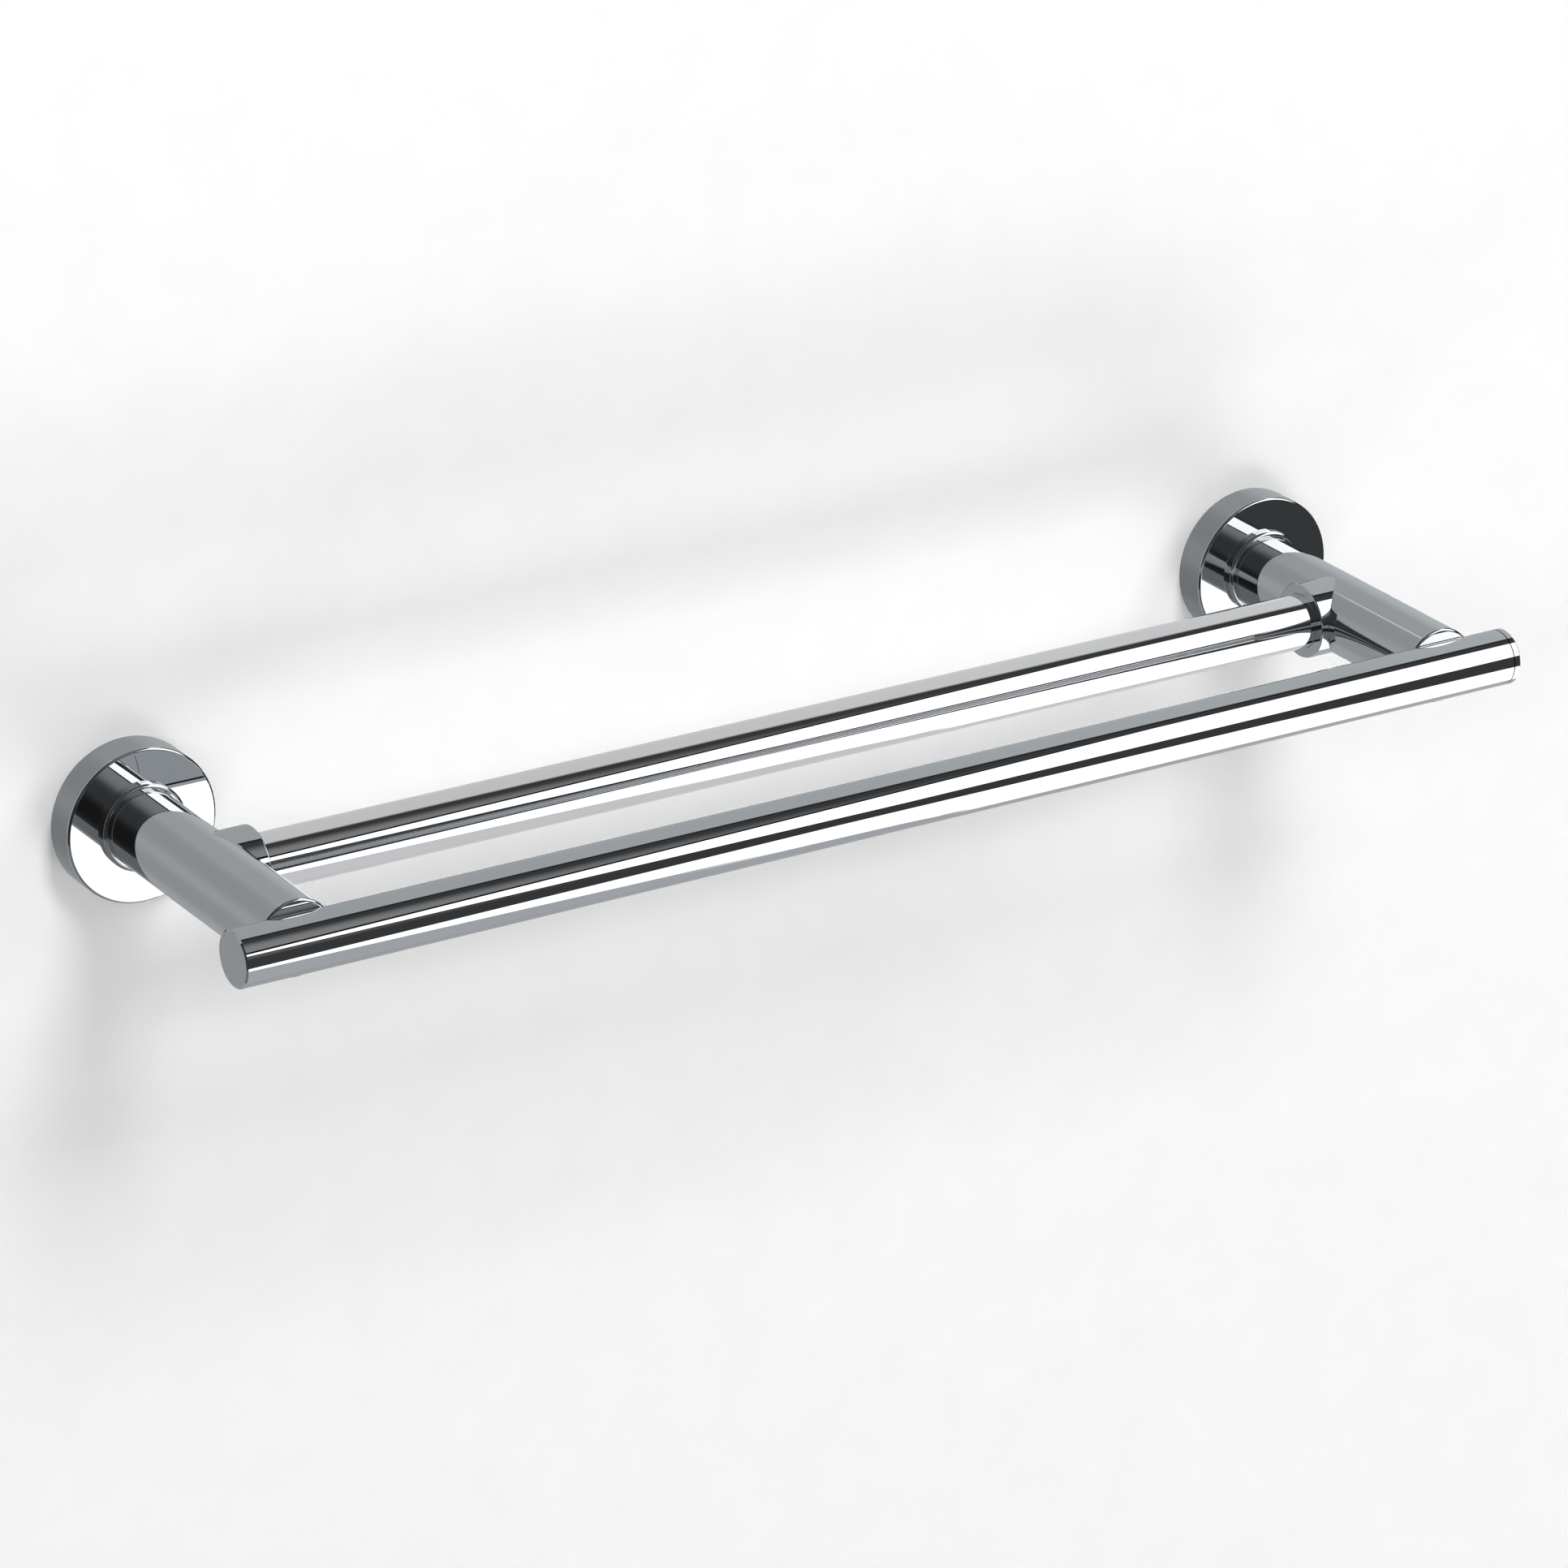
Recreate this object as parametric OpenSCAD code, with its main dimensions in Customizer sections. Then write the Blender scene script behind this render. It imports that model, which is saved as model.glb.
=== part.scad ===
// Double towel rail: two round bars carried by two round arms on wall roses.
// Row frame: +X along the bars, +Z up, wall plane at y = 0, rail stands out towards -Y.
// Origin: centre of the wall-fixing screw pattern, on the wall plane.

/* [Bars] */
// Outside diameter of the front and rear bars
bar_d = 20; // [16:0.1:21]
// Wall thickness of the bar tubes
bar_wall = 1.5; // [1.2:0.1:2.2]
// Overall length of the front bar over its end caps
front_bar_l = 510; // [380:1:900]
// Wall plane to the axis of the front bar
front_bar_out = 127; // [110:0.5:150]
// Wall plane to the axis of the rear bar
rear_bar_out = 61; // [50:0.1:72]

/* [End caps] */
// Visible thickness of each end cap
cap_t = 3; // [2:0.1:5]
// Length of the plug behind each end cap
cap_plug_l = 8; // [5:0.5:12]
// Chamfer around the outer edge of each end cap
cap_edge = 0.4; // [0.2:0.1:0.8]

/* [Arms] */
// Distance between the two arm axes
arm_spacing = 459; // [340:1:840]
// Outside diameter of the arms
arm_d = 27.8; // [25:0.1:30]
// Wall plane to the flat front end of the arms
arm_end_out = 122.8; // [119:0.1:124.5]
// Chamfer around the flat front end of the arms
arm_edge = 0.9; // [0.4:0.1:1.4]
// Diameter of the bore along each arm
arm_bore_d = 10.1; // [9.1:0.1:11]
// Thickness of the web between the arm bore and the saddle
arm_web = 8.5; // [6:0.5:12]

/* [Rear bar sockets] */
// Outside diameter of the socket collars
socket_d = 27.4; // [24.6:0.1:27.6]
// Arm axis to the mouth of the socket collar
socket_reach = 16.9; // [14.5:0.1:22]
// Chamfer around the mouth of the socket collar
socket_edge = 0.5; // [0.2:0.1:0.8]
// Arm axis to the hidden end of the rear bar
rear_bar_stop = 7; // [6:0.1:8.5]

/* [Roses] */
// Outside diameter of the roses
rose_d = 56; // [52:0.1:64]
// Depth of the roses from the wall plane
rose_t = 12.8; // [12:0.1:16]
// Thickness of the rose rim
rose_rim = 2.5; // [2:0.1:3.5]
// Thickness of the rose front wall
rose_front = 3; // [2:0.1:4]
// Chamfer around the front edge of the roses
rose_edge = 0.6; // [0.3:0.1:1.2]
// Outside diameter of the bead ring at the foot of each arm
bead_d = 31.6; // [30.6:0.1:34]
// Length of the bead ring along the arm
bead_l = 2.6; // [2:0.1:4]

/* [Wall brackets] */
// Thickness of the wall brackets
bracket_t = 7; // [6.5:0.1:8]
// Relief of the bracket back inside its rim
bracket_relief = 1; // [0.8:0.1:1.5]
// Diameter of the opening in the middle of each bracket
bracket_hole_d = 20; // [18.5:0.5:22]
// Depth of the grub screw groove around the bracket edge
groove_depth = 1.6; // [1:0.1:2]
// Distance between the two screws of one bracket
screw_spacing = 32; // [30:0.5:36]

/* [Wall screws] */
// Thread diameter of the wall screws
screw_d = 4; // [3.5:0.1:4.2]
// Diameter of the plain neck under each wall screw head
screw_neck_d = 4.6; // [4.4:0.1:5]
// Length of the wall screws, under the wall plane
screw_l = 30; // [25:1:45]
// Countersunk head diameter of the wall screws
screw_head_d = 7.8; // [7:0.1:8.4]

/* [Fasteners] */
// Thread diameter of the bolt that ties the rose to the arm
tie_d = 10; // [9:0.1:10]
// Head diameter of the tie bolt
tie_head_d = 16; // [14:0.5:17]
// Height of the tie bolt head
tie_head_h = 5.5; // [4:0.1:6]
// Thread length of the tie bolt inside the arm
tie_grip = 14; // [10:1:20]
// Thickness of the washer under the tie bolt head
washer_t = 1.5; // [1:0.1:2]
// Thread diameter of the screw that holds the front bar
saddle_screw_d = 5; // [4:0.1:6]
// Head diameter of the saddle screw
saddle_head_d = 8.5; // [7:0.1:8.8]
// Head height of the saddle screw
saddle_head_h = 5; // [4:0.1:6]
// Length of the threaded insert inside the front bar
insert_l = 24; // [16:1:40]
// Diameter of the grub screws
grub_d = 4; // [3:0.1:4]
// Length of the grub screw in the rose
rose_grub_l = 5; // [4:0.1:5]

/* [Hidden] */
$fn = 96;
eps = 0.01;
gap = 0.05;
bar_r = bar_d / 2;
bar_in_r = bar_r - bar_wall;
arm_r = arm_d / 2;
socket_r = socket_d / 2;
rose_r = rose_d / 2;
rose_in_r = rose_r - rose_rim;
rose_in_t = rose_t - rose_front;
bracket_r = rose_in_r - gap;
half_w = arm_spacing / 2;
bar_half_l = front_bar_l / 2 - cap_t;
saddle_top = front_bar_out - bar_r;
bore_end = saddle_top - arm_web;
groove_at = bracket_t / 2 + 0.3;
hex_key = 0.56;

// Places a piece of one side: local z runs out of the wall along the arm axis,
// local x runs towards the middle of the rail, local y runs up.
module at_side(side) {
    translate([side * half_w, 0, 0])
        rotate([90, 0, 0])
            mirror([side > 0 ? 1 : 0, 0, 0])
                children();
}

// Six-sided key recess, open upwards from z = 0 downwards.
module key_recess(across, depth) {
    translate([0, 0, -depth])
        cylinder(h = depth + 1, d = across * 1.1547, $fn = 6);
}

// Both screw positions of one bracket.
module screw_places() {
    for (up = [-1, 1])
        translate([0, up * screw_spacing / 2, 0])
            children();
}

// Countersunk wall screw with a pointed end and a cross recess.
module wall_screws(side) {
    head_h = (screw_head_d - screw_neck_d) / 2;
    color([0.72, 0.72, 0.7])
    at_side(side)
        screw_places()
            difference() {
                rotate_extrude()
                    polygon([[0, -screw_l], [screw_d / 2, -screw_l + 5],
                        [screw_d / 2, 0.3], [screw_neck_d / 2, 0.6],
                        [screw_neck_d / 2, bracket_t - 0.3 - head_h],
                        [screw_head_d / 2, bracket_t - 0.3],
                        [screw_head_d / 2, bracket_t - 0.1], [0, bracket_t - 0.1]]);
                for (turn = [0, 90])
                    rotate([0, 0, turn])
                        translate([-2.2, -0.5, bracket_t - 2])
                            cube([4.4, 1, 4]);
            }
}

// Round wall bracket: rim against the wall, relieved back, grub screw groove around its edge.
module wall_bracket(side) {
    head_h = (screw_head_d - screw_neck_d) / 2;
    color([0.66, 0.67, 0.69])
    at_side(side)
        difference() {
            rotate_extrude()
                polygon([[bracket_hole_d / 2, bracket_relief], [bracket_r - 2.4, bracket_relief],
                    [bracket_r - 2, 0], [bracket_r - 0.5, 0], [bracket_r, 0.5],
                    [bracket_r, groove_at - groove_depth], [bracket_r - groove_depth, groove_at],
                    [bracket_r, groove_at + groove_depth], [bracket_r, bracket_t - 0.5],
                    [bracket_r - 0.5, bracket_t], [bracket_hole_d / 2, bracket_t]]);
            screw_places() {
                translate([0, 0, -1])
                    cylinder(h = bracket_t + 2, d = screw_neck_d + 2 * gap);
                translate([0, 0, bracket_t - 0.3 - head_h])
                    cylinder(h = head_h, d1 = screw_neck_d + 2 * gap, d2 = screw_head_d + 2 * gap);
                translate([0, 0, bracket_t - 0.3 - eps])
                    cylinder(h = 1, d = screw_head_d + 2 * gap);
            }
        }
}

// Round cup-shaped rose with a bolt hole in front and a grub screw hole below.
module rose(side) {
    color([0.8, 0.82, 0.84])
    at_side(side)
        difference() {
            rotate_extrude()
                polygon([[rose_in_r, 0], [rose_r, 0], [rose_r, rose_t - rose_edge],
                    [rose_r - rose_edge, rose_t], [tie_d / 2 + 0.1, rose_t],
                    [tie_d / 2 + 0.1, rose_in_t], [rose_in_r, rose_in_t]]);
            translate([0, 0, groove_at])
                rotate([90, 0, 0])
                    cylinder(h = rose_r + 2, d = grub_d + 2 * gap);
        }
}

// Grub screw under the rose that bites into the bracket groove.
module rose_grub(side) {
    top = rose_r - 0.4;
    color([0.45, 0.46, 0.48])
    at_side(side)
        translate([0, -top, groove_at])
            rotate([90, 0, 0])
                difference() {
                    union() {
                        translate([0, 0, -rose_grub_l + 1])
                            cylinder(h = rose_grub_l - 1, d = grub_d);
                        translate([0, 0, -rose_grub_l])
                            cylinder(h = 1, d1 = 0.6 * grub_d / 2, d2 = grub_d * 0.75);
                    }
                    key_recess(grub_d * 0.5, 2);
                }
}

// Rounded bead ring around the foot of the arm, resting on the rose.
module base_ring(side) {
    bead_r = bead_d / 2;
    inner = arm_r + gap;
    round_r = 0.85;
    color([0.8, 0.82, 0.84])
    at_side(side)
        translate([0, 0, rose_t])
            rotate_extrude()
                union() {
                    translate([inner, 0])
                        square([bead_r - inner - round_r, bead_l - 0.7]);
                    translate([inner, 0])
                        square([bead_r - inner - 0.2, round_r]);
                    translate([inner, 0])
                        square([0.8, bead_l]);
                    translate([bead_r - round_r, round_r])
                        circle(r = round_r, $fn = 48);
                }
}

// Washer under the head of the tie bolt.
module tie_washer(side) {
    color([0.7, 0.71, 0.72])
    at_side(side)
        translate([0, 0, rose_in_t - washer_t])
            difference() {
                cylinder(h = washer_t, d = tie_head_d + 2);
                translate([0, 0, -1])
                    cylinder(h = washer_t + 2, d = tie_d + 0.4);
            }
}

// Tie bolt from inside the rose into the threaded foot of the arm.
module tie_bolt(side) {
    under = rose_in_t - washer_t;
    color([0.62, 0.63, 0.65])
    at_side(side)
        difference() {
            union() {
                translate([0, 0, under - tie_head_h])
                    cylinder(h = 1, d1 = tie_head_d - 2, d2 = tie_head_d);
                translate([0, 0, under - tie_head_h + 1])
                    cylinder(h = tie_head_h - 1, d = tie_head_d);
                translate([0, 0, under])
                    cylinder(h = rose_t - under + tie_grip - 1, d = tie_d);
                translate([0, 0, rose_t + tie_grip - 1])
                    cylinder(h = 1, d1 = tie_d, d2 = tie_d - 2);
            }
            translate([0, 0, under - tie_head_h])
                mirror([0, 0, 1])
                    key_recess(8, 3.5);
        }
}

// Round arm: bored from the wall end, saddle for the front bar, pocket for the rear bar.
module arm(side) {
    color([0.8, 0.82, 0.84])
    at_side(side)
        difference() {
            rotate_extrude()
                polygon([[0, bore_end], [arm_bore_d / 2, bore_end], [arm_bore_d / 2, rose_t],
                    [arm_r, rose_t], [arm_r, arm_end_out - arm_edge],
                    [arm_r - arm_edge, arm_end_out], [0, arm_end_out]]);
            translate([-arm_r - 1, 0, front_bar_out])
                rotate([0, 90, 0])
                    cylinder(h = arm_d + 2, r = bar_r + gap);
            translate([rear_bar_stop - 0.3, 0, rear_bar_out])
                rotate([0, 90, 0])
                    cylinder(h = arm_r, r = bar_r + gap);
            translate([0, 0, bore_end - 1])
                cylinder(h = arm_web + 3, d = saddle_screw_d + 2 * gap);
        }
}

// Collar around the end of the rear bar, coped to the round side of the arm.
module rear_socket(side) {
    color([0.8, 0.82, 0.84])
    at_side(side)
        difference() {
            translate([0, 0, rear_bar_out])
                rotate([0, 90, 0])
                    rotate_extrude()
                        polygon([[bar_r + gap, 0], [socket_r, 0],
                            [socket_r, socket_reach - socket_edge],
                            [socket_r - socket_edge, socket_reach],
                            [bar_r + gap + 0.2, socket_reach], [bar_r + gap, socket_reach - 0.2]]);
            translate([0, 0, rear_bar_out - socket_d])
                cylinder(h = 2 * socket_d, r = arm_r);
            translate([socket_reach - 3.3, 0, rear_bar_out])
                rotate([90, 0, 0])
                    cylinder(h = socket_d, d = grub_d + 2 * gap);
        }
}

// Grub screw under the collar that clamps the rear bar.
module socket_grub(side) {
    top = socket_r - 0.35;
    length = top - bar_r;
    color([0.45, 0.46, 0.48])
    at_side(side)
        translate([socket_reach - 3.3, -top, rear_bar_out])
            rotate([90, 0, 0])
                difference() {
                    translate([0, 0, -length])
                        cylinder(h = length, d = grub_d);
                    key_recess(grub_d * 0.5, 1.8);
                }
}

// Socket head screw inside the arm that pulls the front bar into the saddle.
module saddle_screw(side) {
    color([0.55, 0.56, 0.58])
    at_side(side)
        difference() {
            union() {
                translate([0, 0, bore_end - saddle_head_h])
                    cylinder(h = saddle_head_h, d = saddle_head_d);
                translate([0, 0, bore_end])
                    cylinder(h = front_bar_out - bore_end + 4, d = saddle_screw_d);
            }
            translate([0, 0, bore_end - saddle_head_h])
                mirror([0, 0, 1])
                    key_recess(4, 3);
        }
}

// Threaded slug inside the front bar at one arm.
module bar_insert(side) {
    color([0.78, 0.66, 0.4])
    at_side(side)
        difference() {
            translate([-insert_l / 2, 0, front_bar_out])
                rotate([0, 90, 0])
                    cylinder(h = insert_l, r = bar_in_r - gap);
            translate([0, 0, front_bar_out - bar_r])
                cylinder(h = bar_r + 4.5, d = saddle_screw_d + 2 * gap);
        }
}

// Flat end cap with a plug inside the front bar.
module end_cap(side) {
    color([0.8, 0.82, 0.84])
    translate([side * bar_half_l, -front_bar_out, 0])
        rotate([0, side * 90, 0])
            rotate_extrude()
                polygon([[0, -cap_plug_l], [bar_in_r - 1, -cap_plug_l],
                    [bar_in_r - gap, -cap_plug_l + 1], [bar_in_r - gap, 0], [bar_r - 0.15, 0],
                    [bar_r, 0.15], [bar_r, cap_t - cap_edge], [bar_r - cap_edge, cap_t],
                    [0, cap_t]]);
}

// Front bar tube with one screw hole at each arm.
module front_bar() {
    color([0.8, 0.82, 0.84])
    difference() {
        translate([-bar_half_l, -front_bar_out, 0])
            rotate([0, 90, 0])
                difference() {
                    cylinder(h = 2 * bar_half_l, r = bar_r);
                    translate([0, 0, -1])
                        cylinder(h = 2 * bar_half_l + 2, r = bar_in_r);
                }
        for (side = [-1, 1])
            at_side(side)
                translate([0, 0, saddle_top - 2])
                    cylinder(h = bar_r, d = saddle_screw_d + 2 * gap);
    }
}

// Rear bar tube between the pockets of the two arms.
module rear_bar() {
    length = arm_spacing - 2 * rear_bar_stop;
    color([0.8, 0.82, 0.84])
    translate([-length / 2, -rear_bar_out, 0])
        rotate([0, 90, 0])
            difference() {
                cylinder(h = length, r = bar_r);
                translate([0, 0, -1])
                    cylinder(h = length + 2, r = bar_in_r);
            }
}

wall_screws(-1);  // wall_screws_left
wall_screws(1);  // wall_screws_right
wall_bracket(-1);  // wall_bracket_left
wall_bracket(1);  // wall_bracket_right
rose(-1);  // rose_left
rose(1);  // rose_right
rose_grub(-1);  // rose_grub_left
rose_grub(1);  // rose_grub_right
base_ring(-1);  // base_ring_left
base_ring(1);  // base_ring_right
tie_washer(-1);  // tie_washer_left
tie_washer(1);  // tie_washer_right
tie_bolt(-1);  // tie_bolt_left
tie_bolt(1);  // tie_bolt_right
arm(-1);  // arm_left
arm(1);  // arm_right
rear_socket(-1);  // rear_socket_left
rear_socket(1);  // rear_socket_right
socket_grub(-1);  // socket_grub_left
socket_grub(1);  // socket_grub_right
saddle_screw(-1);  // saddle_screw_left
saddle_screw(1);  // saddle_screw_right
bar_insert(-1);  // bar_insert_left
bar_insert(1);  // bar_insert_right
end_cap(-1);  // end_cap_left
end_cap(1);  // end_cap_right
front_bar();
rear_bar();
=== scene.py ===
"""Looks of the double towel rail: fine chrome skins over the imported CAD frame, and a plain studio."""
import math

import bpy
import numpy as np
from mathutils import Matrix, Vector


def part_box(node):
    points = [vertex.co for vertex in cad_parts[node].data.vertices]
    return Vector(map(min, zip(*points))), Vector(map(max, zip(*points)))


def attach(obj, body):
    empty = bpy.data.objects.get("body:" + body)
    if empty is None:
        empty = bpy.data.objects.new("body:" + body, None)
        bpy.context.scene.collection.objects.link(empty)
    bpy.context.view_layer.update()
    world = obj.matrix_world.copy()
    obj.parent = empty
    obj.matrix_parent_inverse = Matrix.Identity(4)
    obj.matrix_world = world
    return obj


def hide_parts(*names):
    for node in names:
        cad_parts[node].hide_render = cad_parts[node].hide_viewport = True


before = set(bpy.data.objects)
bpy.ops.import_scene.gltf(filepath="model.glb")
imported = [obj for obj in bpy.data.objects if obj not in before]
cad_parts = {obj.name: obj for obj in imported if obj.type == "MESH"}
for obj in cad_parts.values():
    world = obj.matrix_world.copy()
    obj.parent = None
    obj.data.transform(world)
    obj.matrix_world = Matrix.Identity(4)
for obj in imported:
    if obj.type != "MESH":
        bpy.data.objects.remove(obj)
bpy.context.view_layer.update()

BODY = "root"
SIDES = {"left": 1.0, "right": -1.0}  # the sign that points from an arm to the middle of the rail

# ---- sizes, metres, repeated from the CAD source where a node's box doesn't give them ----
MM = 0.001
GAP = 0.05 * MM
BAR_WALL = 1.5 * MM
ROSE_EDGE = 0.95 * MM  # a round edge where the CAD has a 0.6 mm chamfer
ROSE_RIM = 2.5 * MM
ROSE_FRONT = 3.0 * MM
ROSE_BOLT_HOLE = 5.1 * MM
GRUB_HOLE = 2.05 * MM
ROSE_GRUB_OUT = 3.8 * MM  # wall plane to the axis of the rose grub screw
ARM_EDGE = 1.0 * MM
ARM_BORE = 5.05 * MM
ARM_WEB = 8.5 * MM
SADDLE_HOLE = 2.55 * MM
REAR_BAR_POCKET = 6.7 * MM  # arm axis to the bottom of the rear bar pocket
SOCKET_EDGE = 0.5 * MM
COPE_EDGE = 0.2 * MM
SOCKET_GRUB_BACK = 3.3 * MM  # socket mouth to the axis of its grub screw
CAP_T = 3.0 * MM
CAP_EDGE = 0.55 * MM
SEAM = {"left": 0.0, "right": 0.4 * MM}  # open joint behind the cap; the left one is shut
FOOT_EDGE = 0.15 * MM  # round edges at the open back of a rose
CUP_FILLET = 0.4 * MM  # inside corner of a rose
BEAD_EDGE = 0.2 * MM
BEAD_ROUND = 1.2 * MM
BEAD_GROOVE = 0.52 * MM  # from the bead ring's bore to the fine groove in its face
BEAD_GROOVE_HALF, BEAD_GROOVE_DEEP = 0.08 * MM, 0.3 * MM
BEAD_STEP = 0.1 * MM  # how far the face inside that groove stands back
BEAD_FINE = 0.06 * MM
SOCKET_LIP = 0.2 * MM  # fillet between the mouth and the bore of a collar
PLUG_L = 8.0 * MM
PLUG_EDGE = 0.8 * MM

# ---- how the skins are divided ----
RING_COLUMNS, BAR_COLUMNS = 192, 320
ROSE_RINGS = [FOOT_EDGE] + [h * MM for h in (0.45, 1.4, 3.8, 6.2, 8.0)]  # of its inner and outer wall
ROSE_LAST_RING = 10.5 * MM
POCKET_REACH = 13.0 * MM  # half the length of arm wall with finer rings, round the pocket
POCKET_TOP = 108.0 * MM  # wall plane to the last even ring of the arm
GRUB_REACH = 2.6 * MM  # half the length of collar wall that is reworked round its grub screw
SHORT_RING = 0.15 * MM
BAR_HOLE_REACH = 3.6 * MM
BAR_HOLE_COLUMNS = 18
LIP_POINTS, END_POINTS = 61, 77  # points along each side of the saddle groove and each flat end
SEAM_SHIFT = 40  # the arm's columns are rolled by this many, so the pocket doesn't cross their seam

TURN = 2 * math.pi
DOWN = -math.pi / 2  # turn at which the grub screws of a rose or collar lie


def box_mid(node):
    low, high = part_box(node)
    return (low + high) / 2


def box_span(node):
    low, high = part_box(node)
    return high - low


ARM_X = {s: box_mid("arm_" + s).x for s in SIDES}
ARM_R = box_span("arm_left").z / 2
ARM_END = -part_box("arm_left")[0].y
ROSE_R = box_span("rose_left").z / 2
ROSE_T = -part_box("rose_left")[0].y
BEAD_R = box_span("base_ring_left").z / 2
BEAD_L = box_span("base_ring_left").y
SOCKET_R = box_span("rear_socket_left").z / 2
SOCKET_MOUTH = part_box("rear_socket_left")[1].x - ARM_X["left"]
BAR_R = box_span("front_bar").z / 2
FRONT_Y = box_mid("front_bar").y
REAR_Y = box_mid("rear_bar").y
FRONT_HALF = box_span("front_bar").x / 2
REAR_HALF = box_span("rear_bar").x / 2
SADDLE_R = BAR_R + GAP
REAR_OUT = -REAR_Y  # wall plane to the axis of the rear bar
WEB_OUT = -FRONT_Y - BAR_R - ARM_WEB  # wall plane to the back of the web that holds the saddle screw


# ---------------------------------------------------------------------------
# Skin: a mesh gathered from patches whose exact surface normals are kept
# ---------------------------------------------------------------------------
class Skin:
    """Gathers quads with the true normal at every corner, then welds them into one closed mesh."""

    WELD = 1e-6

    def __init__(self):
        self.points, self.normals, self.slots = [], [], []

    def quads(self, p, n, slot=0):
        """p and n are (rows, columns, 3) arrays; every cell of the grid becomes one quad."""
        n = np.broadcast_to(n, p.shape)
        cells = [(slice(None, -1), slice(None, -1)), (slice(1, None), slice(None, -1)),
                 (slice(1, None), slice(1, None)), (slice(None, -1), slice(1, None))]
        corners = np.stack([p[c] for c in cells], 2).reshape(-1, 4, 3)
        facing = np.stack([n[c] for c in cells], 2).reshape(-1, 4, 3)
        self.points.append(corners)
        self.normals.append(facing)
        self.slots.append(np.full(len(corners), slot))

    def build(self, name, materials):
        points = np.concatenate(self.points)
        normals = np.concatenate(self.normals)
        slots = np.concatenate(self.slots)
        flat = np.cross(points[:, 2] - points[:, 0], points[:, 3] - points[:, 1])
        turned = (flat * normals.sum(1)).sum(1) < 0
        points[turned] = points[turned][:, ::-1]
        normals[turned] = normals[turned][:, ::-1]
        keys = np.floor(points.reshape(-1, 3) / self.WELD + 0.137).astype(np.int64)
        _, first, index = np.unique(keys, axis=0, return_index=True, return_inverse=True)
        verts = points.reshape(-1, 3)[first]
        index = index.reshape(-1, 4)
        faces, corner_normals, face_slots = [], [], []
        for quad, facing, slot in zip(index.tolist(), normals.tolist(), slots.tolist()):
            kept = [i for i in range(4) if quad[i] != quad[i - 1]]
            if len(kept) < 3 or len({quad[i] for i in kept}) < 3:
                continue
            faces.append([quad[i] for i in kept])
            corner_normals.extend(facing[i] for i in kept)
            face_slots.append(slot)
        mesh = bpy.data.meshes.new(name)
        mesh.from_pydata(verts.tolist(), [], faces)
        mesh.polygons.foreach_set("use_smooth", [True] * len(faces))
        mesh.polygons.foreach_set("material_index", face_slots)
        mesh.normals_split_custom_set(corner_normals)
        mesh.update()
        for material in materials:
            mesh.materials.append(material)
        piece = bpy.data.objects.new(name, mesh)
        bpy.context.scene.collection.objects.link(piece)
        return piece


class Axis:
    """A turning axis: point(r, t, h) lies r from it, turned t from `a` towards `b`, h along `c`."""

    def __init__(self, origin, a, b, c):
        self.o, self.a, self.b, self.c = (np.array(v, float) for v in (origin, a, b, c))

    def radial(self, t):
        return np.cos(t)[..., None] * self.a + np.sin(t)[..., None] * self.b

    def point(self, r, t, h):
        r, t, h = np.broadcast_arrays(r, t, h)
        return self.o + r[..., None] * self.radial(t) + h[..., None] * self.c

    def normal(self, nr, t, nh):
        nr, t, nh = np.broadcast_arrays(nr, t, nh)
        return nr[..., None] * self.radial(t) + nh[..., None] * self.c


def out_axis(side):
    """Along an arm: a points to the middle of the rail, b up, c out of the wall."""
    return Axis((ARM_X[side], 0, 0), (SIDES[side], 0, 0), (0, 0, 1), (0, -1, 0))


def along_axis(x, y, sign=1.0):
    """Along a bar: a points out of the wall, b up, c to +X times sign."""
    return Axis((x, y, 0), (0, -1, 0), (0, 0, 1), (sign, 0, 0))


def full_turn(n):
    return np.linspace(0, TURN, n + 1)


def revolve(skin, axis, profile, turns, slot=0):
    """profile: list of runs, each a list of (r, h, nr, nh)."""
    for run in profile:
        r, h, nr, nh = (np.array(v)[:, None] for v in zip(*run))
        skin.quads(axis.point(r, turns[None, :], h), axis.normal(nr, turns[None, :], nh), slot)


def line(p, q, parts=1):
    """A straight run from p to q in (r, h), the solid on its left."""
    dr, dh = q[0] - p[0], q[1] - p[1]
    length = math.hypot(dr, dh)
    share = np.linspace(0, 1, parts + 1)
    return [(p[0] + dr * s, p[1] + dh * s, dh / length, -dr / length) for s in share]


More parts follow.
